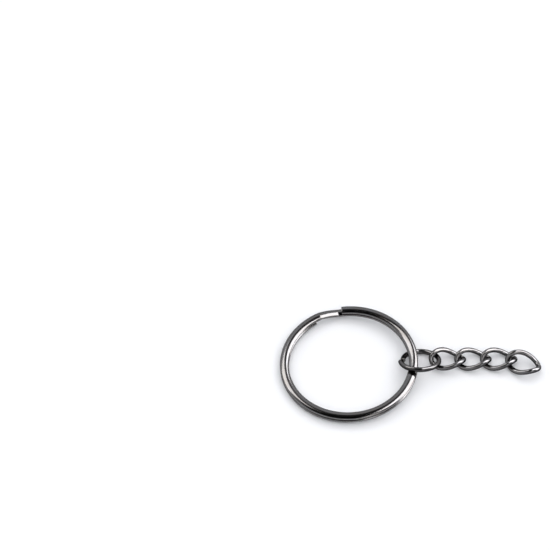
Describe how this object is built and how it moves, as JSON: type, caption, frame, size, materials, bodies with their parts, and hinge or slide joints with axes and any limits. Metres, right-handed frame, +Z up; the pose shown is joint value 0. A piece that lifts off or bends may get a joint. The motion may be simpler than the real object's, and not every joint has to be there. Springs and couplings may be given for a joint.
{
  "type": "split key ring",
  "caption": "Split key ring of flat strip wound twice round, with a jump ring and a short length of curb chain for hanging keys and a charm.",
  "frame": {"origin": "middle of the split ring, on its axis and halfway between its two turns", "axes": "+Z up from the table that the object lies on, +X along the chain, away from the ring. The table is 1.56 mm under the origin, and the ring leans 3 degrees"},
  "size_m": [0.053, 0.028, 0.0044],
  "materials": {
    "split_ring_metal": "polished black nickel plate on spring steel strip",
    "jump_ring_metal": "polished black nickel plate on steel wire",
    "chain_metal": "polished black nickel plate on steel wire"
  },
  "bodies": {
    "split_ring": {"split_ring": "split_ring_metal"},
    "jump_ring": {"jump_ring": "jump_ring_metal"},
    "chain_link_1": {"chain_link_1": "chain_metal"},
    "chain_link_2": {"chain_link_2": "chain_metal"},
    "chain_link_3": {"chain_link_3": "chain_metal"},
    "chain_link_4": {"chain_link_4": "chain_metal"}
  },
  "joints": [
    {"name": "jump_ring_travel", "type": "hinge", "parent": "split_ring", "child": "jump_ring", "pos_m": [0, 0, 0], "axis": [-0.0515, -0.0133, 0.9986], "continuous": true},
    {"name": "link_1_swing", "type": "hinge", "parent": "jump_ring", "child": "chain_link_1", "pos_m": [0.01815, 0.00107, 0.00033], "axis": [-0.189, 0.7472, -0.6372], "range_deg": [-90, 90]},
    {"name": "link_2_swing", "type": "hinge", "parent": "chain_link_1", "child": "chain_link_2", "pos_m": [0.02345, 0.00171, -0.00029], "axis": [-0.3209, 0.6178, -0.7178], "range_deg": [-90, 20]},
    {"name": "link_3_swing", "type": "hinge", "parent": "chain_link_2", "child": "chain_link_3", "pos_m": [0.02856, 0.00143, -0.00035], "axis": [-0.3462, 0.5294, -0.7745], "range_deg": [-90, 15]},
    {"name": "link_4_swing", "type": "hinge", "parent": "chain_link_3", "child": "chain_link_4", "pos_m": [0.03374, 0.00132, -0.0003], "axis": [0.2791, 0.6142, -0.7382], "range_deg": [-90, 30]}
  ]
}
